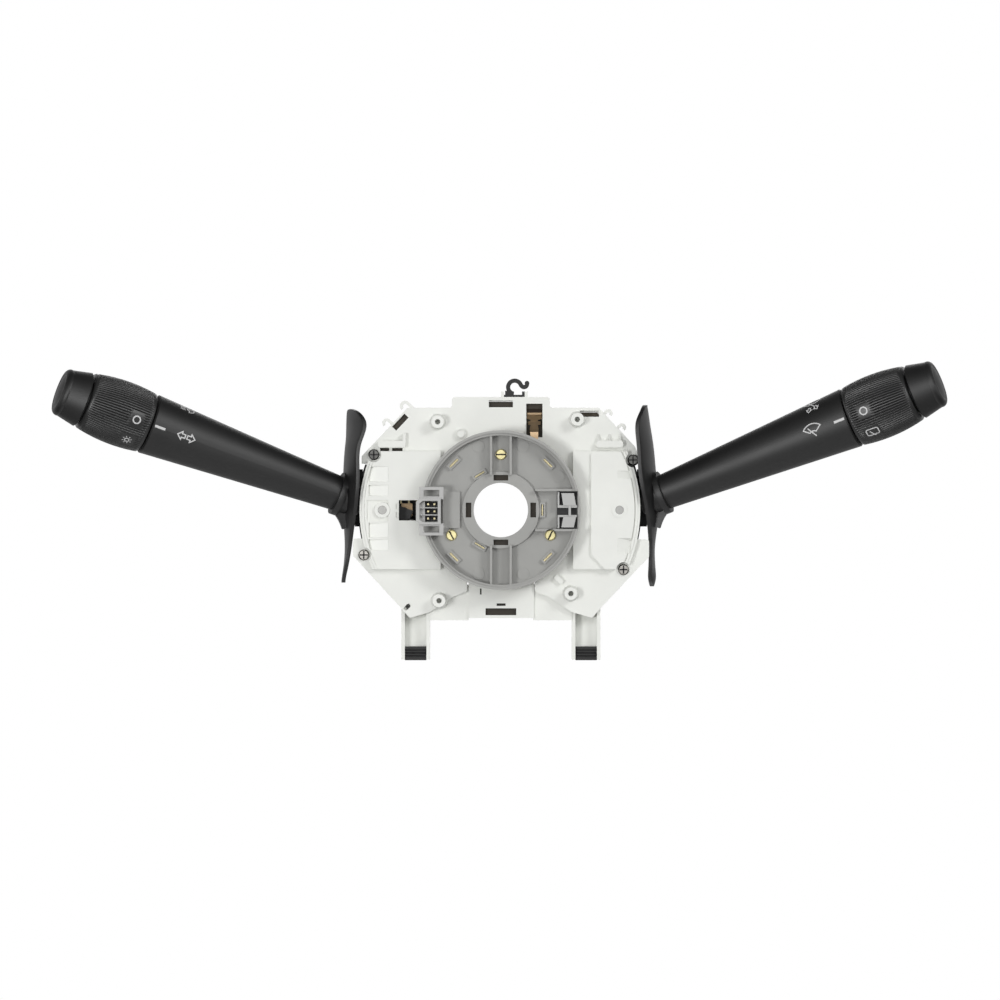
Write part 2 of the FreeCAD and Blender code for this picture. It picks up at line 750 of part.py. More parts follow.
# Ribbed pads pressed in the open ends of the legs
def make_leg_pads():
    pads = []
    for side in (-1, 1):
        low = min(side * leg_outer, side * box_outer) + leg_wall
        high = max(side * leg_outer, side * box_outer) - leg_wall
        floor = leg_floor - 0.1
        pad = block(low, high, leg_front + 1.6, floor, leg_bottom - 0.3, leg_bottom + pad_height)
        grooves = []
        for step in (1, 2, 3):
            z = leg_bottom + step * pad_height / 4
            grooves.append(block(low - 1, high + 1, leg_front, leg_front + 2.3, z - 0.3, z + 0.3))
        pads.append(pad.cut(grooves))
    return group(pads)


def make_rocker(side):
    frame = rocker_frame(side)
    pivot = left_pivot if side < 0 else right_pivot
    front = cover_front + cover_wall + 0.5
    back = mouth_back + 1.1
    barrel = drum(pivot, 0, rocker_radius, front, back)
    tail = Part.makeBox(rocker_tail, 13.0, 2 * rocker_tail_half,
                        Vector(-rocker_tail, -6.5, -rocker_tail_half))
    shape = join(barrel, [placed(tail, frame)])
    slot = Part.makeBox(40, 15.0, 2 * (tongue_half + 0.1),
                        Vector(-6.3, -7.5, -tongue_half - 0.1))
    cross = Part.makeCylinder(cross_radius, 2 * rocker_radius, Vector(0, 0, -rocker_radius),
                              Vector(0, 0, 1))
    bore = Part.makeCylinder(plunger_radius, rocker_tail - 6.0, Vector(-rocker_tail, 0, 0),
                             Vector(1, 0, 0))
    pins = [drum(pivot, 0, pin_radius, front, front + pin_grip),
            drum(pivot, 0, pin_radius, back - pin_grip, back)]
    cuts = [placed(slot, frame), placed(cross, frame), placed(bore, frame)]
    return shape.cut(cuts + pins).removeSplitter()


def make_pivot_pins(side):
    pivot = left_pivot if side < 0 else right_pivot
    lift = right_step_rise if side > 0 else 0.0
    front = cover_front + cover_wall + 0.5
    back = mouth_back + 1.1
    pins = [drum(pivot, 0, pin_radius, cover_front - lift - 0.3, front + pin_grip),
            drum(pivot, 0, pin_radius, back - pin_grip, base_back - 0.2)]
    return group(pins)


def make_cross_pin(side):
    half = math.sqrt(rocker_radius ** 2 - cross_radius ** 2)
    pin = Part.makeCylinder(cross_radius, 2 * half, Vector(0, 0, -half), Vector(0, 0, 1))
    return placed(pin, rocker_frame(side))


def make_plunger(side):
    nose = cam_radius - free_gap - plunger_radius
    body = Part.makeCylinder(plunger_radius, nose - rocker_tail + 3.4, Vector(-nose, 0, 0),
                             Vector(1, 0, 0))
    shape = join(body, [Part.makeSphere(plunger_radius, Vector(-nose, 0, 0))])
    return placed(shape, rocker_frame(side))


# Coil spring behind the plunger, in the rocker's blind bore
def make_detent_spring(side):
    end = rocker_tail - 3.4
    start = 6.0 + 0.1
    radius = plunger_radius - 0.35
    wire = 0.25
    length = end - start - 2 * wire
    helix = Part.makeHelix(length / 3, length, radius)
    first = helix.Edges[0]
    point = first.valueAt(first.FirstParameter)
    corner_a = point + Vector(-wire, 0, -wire)
    section = Part.makePolygon([corner_a, corner_a + Vector(2 * wire, 0, 0),
                                corner_a + Vector(2 * wire, 0, 2 * wire),
                                corner_a + Vector(0, 0, 2 * wire), corner_a])
    coil = Part.Wire(helix.Edges).makePipeShell([section], True, True)
    coil.rotate(Vector(0, 0, 0), Vector(0, 1, 0), -90)
    coil.translate(Vector(-start - wire, 0, 0))
    return placed(coil, rocker_frame(side))


# Sprung contact bridge under the rocker's tail
def make_bridge(side):
    top = pivot_depth + 6.5
    foot = ledge_front - free_gap
    low = socket_centre - 1.6
    high = socket_centre + 3.4
    leaf = [(low, top), (high, top), (high, top + 0.5), (low + 2.0, top + 0.5),
            (low + 1.0, foot), (low, foot)]
    ring = [Vector(side * x, y, -3.0) for x, y in leaf]
    return Part.Face(Part.makePolygon(ring + ring[:1])).extrude(Vector(0, 0, 6.0))


def make_lever(side):
    bore = Part.makeCylinder(cross_radius + run_gap, 20, Vector(0, 0, -10), Vector(0, 0, 1))
    rounding = Part.makeCylinder(tongue_tall, 2 * tongue_half, Vector(0, 0, -tongue_half),
                                 Vector(0, 0, 1))
    front = Part.makeBox(neck_start + 4.0, 2 * tongue_tall, 2 * tongue_half,
                         Vector(0, -tongue_tall, -tongue_half))
    tongue = join(rounding, [front])
    neck = rod(neck_start, lever_start + 1, neck_radius)
    edges = [line((lever_start, 0), (lever_start, lever_root)),
             line((lever_start, lever_root), (lever_end - 0.6, lever_head)),
             line((lever_end - 0.6, lever_head), (lever_end, lever_head - 0.5)),
             line((lever_end, lever_head - 0.5), (lever_end, spigot_radius)),
             line((lever_end, spigot_radius), (cap_start, spigot_radius)),
             line((cap_start, spigot_radius), (cap_start, stem_radius)),
             line((cap_start, stem_radius), (cap_start - stem_length, stem_radius)),
             line((cap_start - stem_length, stem_radius), (cap_start - stem_length, 0)),
             line((cap_start - stem_length, 0), (lever_start, 0))]
    shape = join(turned(edges), [neck, tongue]).cut(bore)
    return placed(shape, stalk_frame(side))


def make_ring(side):
    inner = spigot_radius + run_gap
    crown = (ring_start + ring_end) / 2 - 1.5
    edges = [line((ring_start, inner), (ring_start, lever_head - 0.4)),
             line((ring_start, lever_head - 0.4), (ring_start + 0.5, lever_head)),
             arc((ring_start + 0.5, lever_head), (crown, ring_crown), (ring_end - 0.5, ring_tail)),
             line((ring_end - 0.5, ring_tail), (ring_end, ring_tail - 0.4)),
             line((ring_end, ring_tail - 0.4), (ring_end, inner)),
             line((ring_end, inner), (ring_start, inner))]
    return placed(turned(edges), stalk_frame(side))


def make_cap(side):
    shoulder = stalk_end - cap_round
    knee = cap_end_radius - cap_round * 0.9
    bulge = (shoulder + cap_round * 0.72, cap_end_radius - cap_round * 0.28)
    stem = cap_start - stem_length + 0.2
    dome_arc = (cap_dome ** 2 + knee ** 2) / (2 * cap_dome)
    dome_centre = stalk_end - dome_arc
    turn = math.asin(knee / dome_arc)
    edges = [line((stem, 0), (stem, stem_radius)),
             line((stem, stem_radius), (cap_start, stem_radius)),
             line((cap_start, stem_radius), (cap_start, cap_start_radius - 0.5)),
             line((cap_start, cap_start_radius - 0.5), (cap_start + 0.5, cap_start_radius)),
             line((cap_start + 0.5, cap_start_radius), (shoulder, cap_end_radius)),
             arc((shoulder, cap_end_radius), bulge, (stalk_end - cap_dome, knee)),
             arc((stalk_end - cap_dome, knee), (dome_centre + dome_arc * math.cos(turn / 2),
                                                dome_arc * math.sin(turn / 2)), (stalk_end, 0)),
             line((stalk_end, 0), (stem, 0))]
    return placed(turned(edges), stalk_frame(side))


# One level section of a closing blade, from its front edge to its rear edge
def leaf_section(z, front, rear, bulge, side):
    inner_front = Vector(front[0], front[1], z)
    outer_rear = Vector(rear[0], rear[1], z)
    outer_front = inner_front + Vector(side * leaf_thick, 0, 0)
    inner_rear = outer_rear - Vector(side * leaf_thick, 0, 0)
    swell = Vector(side * bulge, 0, 0)
    inner_mid = (inner_front + inner_rear) * 0.5 + swell
    outer_mid = (outer_front + outer_rear) * 0.5 + swell
    return Part.Wire([Part.Arc(inner_front, inner_mid, inner_rear).toShape(),
                      Part.LineSegment(inner_rear, outer_rear).toShape(),
                      Part.Arc(outer_rear, outer_mid, outer_front).toShape(),
                      Part.LineSegment(outer_front, inner_front).toShape()])


# Blade sections: height, front edge (x, y), rear edge (x, y), outward swell
left_leaf = (
    (45.4, (-66.2, -4.0), (-68.3, 3.0), 0.1),
    (44.7, (-64.6, -9.0), (-69.3, 7.0), 0.4),
    (43.0, (-62.4, -12.5), (-69.6, 11.0), 0.8),
    (39.0, (-60.3, -15.0), (-69.8, 15.0), 1.3),
    (30.0, (-62.5, -16.0), (-70.1, 17.5), 2.0),
    (16.0, (-63.3, -16.0), (-70.9, 18.0), 2.3),
    (4.0, (-64.1, -13.5), (-71.0, 18.0), 2.3),
    (-8.0, (-65.9, -5.0), (-70.7, 16.5), 1.2),
    (-18.0, (-67.3, -1.0), (-70.5, 14.0), 0.4),
    (-27.0, (-69.0, 1.5), (-71.2, 11.0), 0.2),
    (-32.7, (-70.0, 4.0), (-71.9, 8.5), 0.1),
)
right_leaf = (
    (47.2, (64.2, -4.0), (66.0, 0.0), 0.1),
    (46.2, (63.2, -8.0), (66.1, 4.0), 0.3),
    (43.5, (62.0, -12.0), (66.6, 9.0), 0.8),
    (39.5, (60.5, -15.0), (67.2, 14.0), 1.5),
    (30.0, (60.8, -16.0), (68.4, 17.0), 2.4),
    (16.0, (61.8, -16.0), (69.9, 18.0), 2.4),
    (4.0, (64.0, -13.0), (70.8, 18.0), 2.3),
    (-8.0, (65.9, -3.0), (70.3, 16.5), 1.3),
    (-17.0, (66.5, 0.0), (69.5, 14.0), 0.4),
    (-27.0, (66.3, 1.5), (69.8, 11.0), 0.2),
    (-34.4, (67.1, 4.0), (69.0, 8.5), 0.1),
)


def make_leaf(side):
    sections = left_leaf if side < 0 else right_leaf
    wires = [leaf_section(z, front, rear, bulge, side) for z, front, rear, bulge in sections]
    leaf = Part.makeLoft(wires, True, False)
    frame = stalk_frame(side)
    hub = placed(rod(hub_start, lever_start, hub_radius), frame)
    collar = placed(rod(collar_start, lever_start, collar_radius), frame)
    collar_low = (lever_start - 0.6, -collar_radius + 1.5)
    gusset = Part.Face(Part.Wire([
        line((collar_start - 9, -3), collar_low),
        arc(collar_low, gusset_bend, gusset_tip),
        line(gusset_tip, (gusset_tip[0] - 2.5, gusset_tip[1] + 2.0)),
        line((gusset_tip[0] - 2.5, gusset_tip[1] + 2.0), (collar_start - 9, -3))]))
    gusset.translate(Vector(0, 0, -1.6))
    gusset = gusset.extrude(Vector(0, 0, 3.2))
    gusset.rotate(Vector(0, 0, 0), Vector(1, 0, 0), 90)
    gusset = placed(gusset, frame)
    shape = leaf.multiFuse([hub, collar, gusset])
    return shape.cut(placed(rod(0, lever_start + 1, neck_radius), frame))


def terminal_angles():
    outer = [(outer_slots, angle) for angle in (45, 135, 225, 315)]
    inner = [(inner_slots, angle) for angle in (0, 121, 239)]
    return outer + inner


def make_rotor():
    floor = drum(0, 0, rotor_radius, rotor_floor, rotor_back)
    rim = tube(0, 0, rotor_radius, rotor_radius - rotor_wall, rotor_front, rotor_back)
    bead = tube(0, 0, rotor_radius, rotor_radius - 2.2, rotor_front + 1.6, rotor_back)
    hub = drum(0, 0, hub_ring, hub_front, rotor_back)
    skirt = drum(0, 0, rotor_skirt, rotor_floor, rotor_skirt_back)
    additions = [rim, bead, hub, skirt]
    inside = drum(0, 0, rotor_radius - 0.4, rib_front, rotor_back)
    for offset in (-rib_half, rib_half):
        for up in (-1, 1):
            z0 = min(up * (hub_ring - 1.5), up * rotor_radius)
            z1 = max(up * (hub_ring - 1.5), up * rotor_radius)
            rib = block(offset - 0.5, offset + 0.5, rib_front, rotor_floor, z0, z1)
            additions.append(rib.common(inside))
    for up in (-1, 1):
        rib = block(hub_ring - 2.0, rotor_radius, rib_front, rotor_floor,
                    up * side_rib_half - 0.5, up * side_rib_half + 0.5)
        additions.append(rib.common(inside))
        wall = block(-rotor_radius, connector_right + 0.8, rib_front, rotor_floor,
                     up * 10.2 - 0.5, up * 10.2 + 0.5)
        additions.append(wall.common(inside))
    additions.append(block(connector_right + 0.8, -hub_ring - 1.15, hub_front + 0.4,
                           rotor_floor, -8.1, 8.3))
    for distance, angle in terminal_angles():
        additions.append(turned_block(distance, angle, frame_long, 2.7, rotor_floor - 1.7,
                                      rotor_floor))
    for x, z in ((10, 28.6), (-10, 28.6), (10, -28.6), (-10, -28.6), (26, 15)):
        additions.append(drum(x, z, 2.7, rotor_floor - 0.35, rotor_floor))
    shape = join(floor, additions)
    cuts = [drum(0, 0, rotor_bore, rotor_front, rotor_back + 30),
            drum(0, 0, sleeve_outer + run_gap, sleeve_front - free_gap, rotor_skirt_back + 1)]
    for angle in (0, 90, 180, 270):
        cuts.append(turned_block(hub_window, angle, 6.6, 2.5, hub_front - 1, rotor_floor + 0.6))
    for distance, angle in terminal_angles():
        cuts.append(turned_block(distance, angle, slot_long, 1.1, rotor_floor - 2, rotor_back + 1))
    for angle in (90, 207, 333):
        x = screw_circle * math.cos(math.radians(angle))
        z = screw_circle * math.sin(math.radians(angle))
        cuts.append(drum(x, z, screw_shank, rotor_floor - 1, rotor_back + 1))
        cuts.append(drum(x, z, screw_head + free_gap, rotor_front, rotor_floor))
    cuts.append(block(clip_inner - 0.6, clip_outer, rotor_front - 1, rotor_floor, -8.5, 8.5))
    cuts.append(block(clip_outer - 1, rotor_radius + 1, rotor_front - 1, low_rim, -8.5, 8.5))
    cuts.append(block(-rotor_radius - 1, connector_right - 1.1, rotor_front - 1, rotor_floor,
                      -9.7, 9.7))
    return shape.cut(cuts).removeSplitter()


# Brown pads at the bottom of the four hub windows
def make_hub_pads():
    return group([turned_block(hub_window, angle, 6.6, 2.5, rotor_floor - 0.4, rotor_floor + 0.6)
                  for angle in (0, 90, 180, 270)])


def make_slip_ring():
    return tube(0, 0, slip_outer, slip_inner, rotor_back, rotor_back + slip_thick)


def make_rotor_screws():
    screws = []
    for angle in (90, 207, 333):
        x = screw_circle * math.cos(math.radians(angle))
        z = screw_circle * math.sin(math.radians(angle))
        front = rotor_floor - 1.5
        head = join(taper(x, z, 2.0, 2.45, front, front + 0.5),
                    [drum(x, z, 2.45, front + 0.5, rotor_floor)])
        slot = block(x - 3, x + 3, front - 1, front + 0.8, z - 0.35, z + 0.35)
        slot.rotate(Vector(x, 0, z), Vector(0, 1, 0), 90 - angle)
        shank = drum(x, z, screw_shank, rotor_floor, rotor_back)
        screws.append(join(head.cut(slot), [shank]))
    return group(screws)


def make_rotor_terminals():
    tabs = []
    for distance, angle in terminal_angles():
        tabs.append(turned_block(distance, angle, slot_long, 0.5, rotor_floor - 0.5, rotor_back))
    return group(tabs)


# Light grey connector housing that stands over the rotor's left rim
def make_rotor_connector():
    left = connector_left
    right = connector_right
    body = slab([(left, connector_low + 1.6), (left + 1.6, connector_low),
                 (right, connector_low), (right, connector_high),
                 (left + 1.6, connector_high), (left, connector_high - 1.6)],
                connector_front, rotor_front)
    foot = block(left + 4.0, right, rotor_front, rotor_floor, connector_low, connector_high)
    ears = []
    for up, edge in ((-1, connector_low), (1, connector_high)):
        low = min(edge - up * 0.5, edge + up * 5.0)
        high = max(edge - up * 0.5, edge + up * 5.0)
        ear = block(left + 1.4, right + 1.2, connector_front + 1.4, rotor_front - 0.2, low, high)
        notch = block(left + 3.4, right - 0.7, connector_front, rotor_front, low + 1.3, high - 1.3)
        ears.append(ear.cut(notch))
    shape = join(body, [foot] + ears)
    opening = slab([(left + 1.6, -4.2), (left + 3.0, -5.4), (right - 1.4, -5.4),
                    (right - 1.4, 4.1), (left + 3.0, 4.1), (left + 1.6, 2.9)],
                   connector_front - 1, cell_floor)
    shelf = block(left - 2, left + 4.0, rotor_front - 0.4, cell_floor + 1, -6, 6)
    opening = opening.cut(shelf)
    dividers = [block(left + 1.6, right - 1.4, connector_front + 1.2, cell_floor,
                      z - 0.25, z + 0.25) for z in (-2.2, 1.0)]
    shape = shape.cut(opening).multiFuse([bar.common(opening) for bar in dividers])
    return shape.cut(make_rotor_pins()).removeSplitter()


def make_rotor_pins():
    pins = []
    for x in (connector_left + 5.4, connector_left + 8.2):
        for z in (-3.8, -0.6, 2.6):
            pins.append(block(x - 0.4, x + 0.4, connector_front + 3.0, cell_floor + 2.0,
                              z - 0.4, z + 0.4))
    return group(pins)


# Black tray in the pocket on the rotor's right
def make_clip_tray():
    return block(clip_inner - 0.3, clip_outer - 0.3, clip_foot, rotor_floor, -8.3, 8.3)


# Latch frame on the tray: two bars with a post between them, strips and sloping blocks
def make_rotor_clip():
    inner = clip_inner
    outer = clip_outer - 0.3
    bars = block(inner, outer, -19.5, clip_foot, 1.0, 2.2)
    parts = [block(inner, outer, -19.5, clip_foot, -3.2, -2.2),
             block(inner + 4.9, inner + 6.0, -20.0, clip_foot, -2.9, 2.9),
             block(inner, inner + 0.8, -19.5, clip_foot, 2.0, 8.1),
             block(inner, inner + 0.8, -19.5, clip_foot, -8.2, -3.0)]
    for start, end in ((2.0, 7.6), (-3.0, -7.8)):
        parts.append(slab([(inner + 2.6, start), (outer - 0.4, start), (outer - 1.4, end),
                           (inner + 1.7, end)], -20.6, clip_foot))
    return join(bars, parts)


def write_part(name, shape):
    shape.exportStep("parts/" + name + ".step")


os.makedirs("parts", exist_ok=True)
write_part("carrier", make_carrier())
write_part("terminal_board", make_board())
write_part("upper_cassette_screws", make_screws(upper_screws))
write_part("lower_cassette_screws", make_screws(lower_screws))
write_part("contact_finger", make_contact_finger())
write_part("cable_hook", make_cable_hook())
write_part("leg_pads", make_leg_pads())
for side_name, side_sign in (("left", -1), ("right", 1)):
    write_part(side_name + "_cover", make_cover(side_sign))
    write_part(side_name + "_base", make_base(side_sign))
    write_part(side_name + "_terminal_pins", make_pins(side_sign))
    write_part(side_name + "_rocker", make_rocker(side_sign))
    write_part(side_name + "_pivot_pins", make_pivot_pins(side_sign))
    write_part(side_name + "_cross_pin", make_cross_pin(side_sign))
    write_part(side_name + "_detent_plunger", make_plunger(side_sign))
    write_part(side_name + "_detent_spring", make_detent_spring(side_sign))
    write_part(side_name + "_contact_bridge", make_bridge(side_sign))
    write_part(side_name + "_lever", make_lever(side_sign))
    write_part(side_name + "_ring", make_ring(side_sign))
    write_part(side_name + "_cap", make_cap(side_sign))
    write_part(side_name + "_blade", make_leaf(side_sign))
write_part("rotor_disc", make_rotor())
write_part("slip_ring", make_slip_ring())
write_part("rotor_screws", make_rotor_screws())
write_part("rotor_terminals", make_rotor_terminals())
write_part("rotor_connector", make_rotor_connector())
write_part("rotor_connector_pins", make_rotor_pins())
write_part("rotor_clip", make_rotor_clip())
write_part("clip_tray", make_clip_tray())
write_part("hub_pads", make_hub_pads())
write_part("lower_board", make_lower_board())
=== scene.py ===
import json
import math

import bpy
from mathutils import Matrix, Vector


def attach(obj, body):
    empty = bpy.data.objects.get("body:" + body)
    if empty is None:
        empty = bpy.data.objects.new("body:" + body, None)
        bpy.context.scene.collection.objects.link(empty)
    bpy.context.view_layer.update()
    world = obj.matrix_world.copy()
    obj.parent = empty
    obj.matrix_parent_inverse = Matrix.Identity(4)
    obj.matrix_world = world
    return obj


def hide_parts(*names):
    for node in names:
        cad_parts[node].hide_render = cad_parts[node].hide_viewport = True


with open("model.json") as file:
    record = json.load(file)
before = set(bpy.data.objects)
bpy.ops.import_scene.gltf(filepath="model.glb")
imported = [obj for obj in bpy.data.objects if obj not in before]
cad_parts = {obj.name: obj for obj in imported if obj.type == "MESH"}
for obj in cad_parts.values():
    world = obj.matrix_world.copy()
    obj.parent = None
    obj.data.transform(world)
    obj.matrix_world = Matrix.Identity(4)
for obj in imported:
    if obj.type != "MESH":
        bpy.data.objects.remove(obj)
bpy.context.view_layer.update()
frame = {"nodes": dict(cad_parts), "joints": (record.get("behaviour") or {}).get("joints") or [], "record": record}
nodes = frame["nodes"]
joints = {joint["name"]: joint for joint in frame["joints"]}
print("frame loaded:", len(nodes), "nodes")

mm = 0.001


# Materials: one finish for each slot of the record, and one for the printed symbols

# each finish: colour, roughness, metal and shine where they matter, how far the colour
# wanders, and its grain as a noise scale and a height in m
finishes = {
    "white_housing": dict(color=(0.82, 0.83, 0.79), rough=0.38,
                          wander=0.03, grain=900, height=4e-6),
    "brown_board": dict(color=(0.030, 0.022, 0.012), rough=0.6,
                        wander=0.5, grain=500, height=2e-5),
    "black_screw": dict(color=(0.10, 0.10, 0.095), rough=0.32, metal=0.9,
                        wander=0.3, grain=1500, height=6e-6),
    "zinc_screw": dict(color=(0.30, 0.29, 0.27), rough=0.3, metal=1.0,
                       wander=0.35, grain=1500, height=6e-6),
    "steel_pin": dict(color=(0.27, 0.27, 0.26), rough=0.35, metal=1.0,
                      wander=0.15, grain=1500, height=3e-6),
    "contact_bronze": dict(color=(0.50, 0.36, 0.22), rough=0.35, metal=0.85,
                           wander=0.4, grain=300, height=4e-6),
    "gloss_black": dict(color=(0.006, 0.006, 0.006), rough=0.25, shine=0.25,
                        wander=0.2, grain=800, height=3e-6),
    "black_pad": dict(color=(0.012, 0.012, 0.012), rough=0.55,
                      wander=0.3, grain=1200, height=1e-5),
    "black_base": dict(color=(0.012, 0.012, 0.013), rough=0.5,
                       wander=0.3, grain=1200, height=8e-6),
    "terminal_brass": dict(color=(0.42, 0.37, 0.23), rough=0.3, metal=0.9,
                           wander=0.25, grain=500, height=3e-6),
    "grey_rotor": dict(color=(0.345, 0.345, 0.33), rough=0.42,
                       wander=0.06, grain=900, height=5e-6),
    "yellow_brass": dict(color=(0.70, 0.63, 0.33), rough=0.34, metal=0.5,
                         wander=0.3, grain=700, height=6e-6),
    "light_grey": dict(color=(0.45, 0.45, 0.44), rough=0.4,
                       wander=0.05, grain=900, height=4e-6),
    "stalk_black": dict(color=(0.006, 0.006, 0.006), rough=0.54, shine=1.0,
                        wander=0.2, grain=3500, height=1.2e-5),
    "symbol_white": dict(color=(0.62, 0.62, 0.62), rough=0.5,
                         wander=0.03, grain=2500, height=2e-6),
    "ring_black": dict(color=(0.022, 0.022, 0.022), rough=0.4, shine=0.8,
                       wander=0.15, grain=2500, height=4e-6),
}

# the slow patches on every finish: the noise values where they are darkest and lightest, and
# how far they take the roughness down and up
patchLook = dict(scale=60, detail=3.0, dark=0.3, light=0.7, roughness=0.05)
grainDetail = 2.0


def newMaterial(name, color, roughness, metallic=0.0, specular=0.5):
    material = bpy.data.materials.new(name)
    material.use_nodes = True
    shader = material.node_tree.nodes["Principled BSDF"]
    shader.inputs["Base Color"].default_value = (*color, 1)
    shader.inputs["Roughness"].default_value = roughness
    shader.inputs["Metallic"].default_value = metallic
    shader.inputs["Specular IOR Level"].default_value = specular
    return material, shader


def addNoise(material, scale, detail):
    tree = material.node_tree
    coords = tree.nodes.new("ShaderNodeTexCoord")
    noise = tree.nodes.new("ShaderNodeTexNoise")
    noise.inputs["Scale"].default_value = scale
    noise.inputs["Detail"].default_value = detail
    tree.links.new(coords.outputs["Object"], noise.inputs["Vector"])
    return noise.outputs["Fac"]


def shade(color, factor):
    return tuple(min(1.0, value * factor) for value in color)


def colorFrom(material, shader, factor, color, wander):
    ramp = material.node_tree.nodes.new("ShaderNodeValToRGB")
    ends = ramp.color_ramp.elements
    ends[0].position = patchLook["dark"]
    ends[0].color = (*shade(color, 1 - wander), 1)
    ends[1].position = patchLook["light"]
    ends[1].color = (*shade(color, 1 + wander), 1)
    material.node_tree.links.new(factor, ramp.inputs["Fac"])
    material.node_tree.links.new(ramp.outputs["Color"], shader.inputs["Base Color"])


def roughnessFrom(material, shader, factor, middle, reach):
    span = material.node_tree.nodes.new("ShaderNodeMapRange")
    span.inputs["To Min"].default_value = middle - reach
    span.inputs["To Max"].default_value = middle + reach
    material.node_tree.links.new(factor, span.inputs["Value"])
    material.node_tree.links.new(span.outputs["Result"], shader.inputs["Roughness"])


def bumpFrom(material, shader, factor, height, strength=1.0):
    bump = material.node_tree.nodes.new("ShaderNodeBump")
    bump.inputs["Distance"].default_value = height
    bump.inputs["Strength"].default_value = strength
    material.node_tree.links.new(factor, bump.inputs["Height"])
    material.node_tree.links.new(bump.outputs["Normal"], shader.inputs["Normal"])


# mixes a second colour over a finish's own, as far as the factor says
def mixOver(material, factor, color):
    tree = material.node_tree
    shader = tree.nodes["Principled BSDF"]
    ownColor = shader.inputs["Base Color"].links[0].from_socket
    mix = tree.nodes.new("ShaderNodeMix")
    mix.data_type = "RGBA"
    mix.inputs["B"].default_value = (*color, 1)
    tree.links.new(factor, mix.inputs["Factor"])
    tree.links.new(ownColor, mix.inputs["A"])
    tree.links.new(mix.outputs["Result"], shader.inputs["Base Color"])


finishOf = {}
for finishName, look in finishes.items():
    surface, shader = newMaterial(finishName, look["color"], look["rough"],
                                  look.get("metal", 0.0), look.get("shine", 0.5))
    patches = addNoise(surface, patchLook["scale"], patchLook["detail"])
    colorFrom(surface, shader, patches, look["color"], look["wander"])
    roughnessFrom(surface, shader, patches, look["rough"], patchLook["roughness"])
    grain = addNoise(surface, look["grain"], grainDetail)
    bumpFrom(surface, shader, grain, look["height"])
    finishOf[finishName] = surface

# painted shade: the rings' grooves are coloured darker than their crests, the more the deeper they are
grooveShadeColor = (0.001, 0.001, 0.001)
grooveDepth = finishOf["ring_black"].node_tree.nodes.new("ShaderNodeAttribute")
grooveDepth.attribute_name = "groove"
mixOver(finishOf["ring_black"], grooveDepth.outputs["Fac"], grooveShadeColor)

# painted shade: the contact finger is coloured darker upward between two heights, in mm, where it stands back in
# its window
fingerShade = dict(low=42.5, high=44.0, color=(0.012, 0.008, 0.005))
fingerTree = finishOf["contact_bronze"].node_tree
fingerPlace = fingerTree.nodes.new("ShaderNodeTexCoord")
fingerHeight = fingerTree.nodes.new("ShaderNodeSeparateXYZ")
fingerSpan = fingerTree.nodes.new("ShaderNodeMapRange")
fingerSpan.inputs["From Min"].default_value = fingerShade["low"] * mm
fingerSpan.inputs["From Max"].default_value = fingerShade["high"] * mm
fingerTree.links.new(fingerPlace.outputs["Object"], fingerHeight.inputs["Vector"])
fingerTree.links.new(fingerHeight.outputs["Z"], fingerSpan.inputs["Value"])
mixOver(finishOf["contact_bronze"], fingerSpan.outputs["Result"], fingerShade["color"])

slotOf = {part["node"]: part["material_slot"] for part in frame["record"]["subparts"]}
for nodeName, node in nodes.items():
    for slot in node.material_slots:
        slot.material = finishOf[slotOf[nodeName]]
print("finishes:", len(finishOf))


# Softened mould edges: their width on each node, in mm

softening = {"carrier": 0.25, "left_cover": 0.35, "right_cover": 0.45, "rotor_disc": 0.18,
             "rotor_connector": 0.15, "rotor_clip": 0.15, "left_blade": 0.25, "right_blade": 0.25,
             "cable_hook": 0.25, "leg_pads": 0.2, "left_base": 0.2, "right_base": 0.2}
softEdge = dict(segments=2, sharperThan=40, weldWithin=0.001)  # degrees, mm

for nodeName, width in softening.items():
    weld = nodes[nodeName].modifiers.new("weld", "WELD")
    weld.merge_threshold = softEdge["weldWithin"] * mm
    bevel = nodes[nodeName].modifiers.new("softEdge", "BEVEL")
    bevel.width = width * mm
    bevel.segments = softEdge["segments"]
    bevel.limit_method = "ANGLE"
    bevel.angle_limit = math.radians(softEdge["sharperThan"])
print("edges softened:", len(softening))


# The turned stalks: places along the axis from the pivot, and radii there, in mm. Each stalk
# leans toward the driver by lean degrees. A ring's crown lies between two lips that slope
# inward, and its highest place is crownShift nearer to the pivot than its middle.

stalk = dict(lean=12, leverStart=22.6, leverStop=113.8, leverRoot=7.95, leverHead=13.7,
             ringStart=115.1, ringEnd=144.6, ringRoot=13.7, ringCrown=14.7, ringTail=12.9,
             ringBore=9.05, crownShift=1.5, lip=0.5, lipSlope=0.8)
crownStart = stalk["ringStart"] + stalk["lip"]
crownEnd = stalk["ringEnd"] - stalk["lip"]


# gives points on a stalk's turned surface from a place along it and an angle round it
class StalkSurface:
    def __init__(self, side):
        ringJoint = joints[side + "_ring_turn"]
        flip = 1 if side == "left" else -1
        self.pivot = Vector(ringJoint["pos_m"])
        self.along = Vector(ringJoint["axis"]).normalized() * flip
        toDriver = Vector((0, -1, 0))
        self.front = (toDriver - self.along * toDriver.dot(self.along)).normalized()
        self.up = self.along.cross(self.front)
        if self.up.z < 0:
            self.up = -self.up

    def at(self, station, angle, radius):
        outward = self.front * math.cos(angle) + self.up * math.sin(angle)
        return self.pivot + self.along * (station * mm) + outward * (radius * mm)


def leverRadius(station):
    share = (station - stalk["leverStart"]) / (stalk["leverStop"] - stalk["leverStart"])
    return stalk["leverRoot"] + share * (stalk["leverHead"] - stalk["leverRoot"])


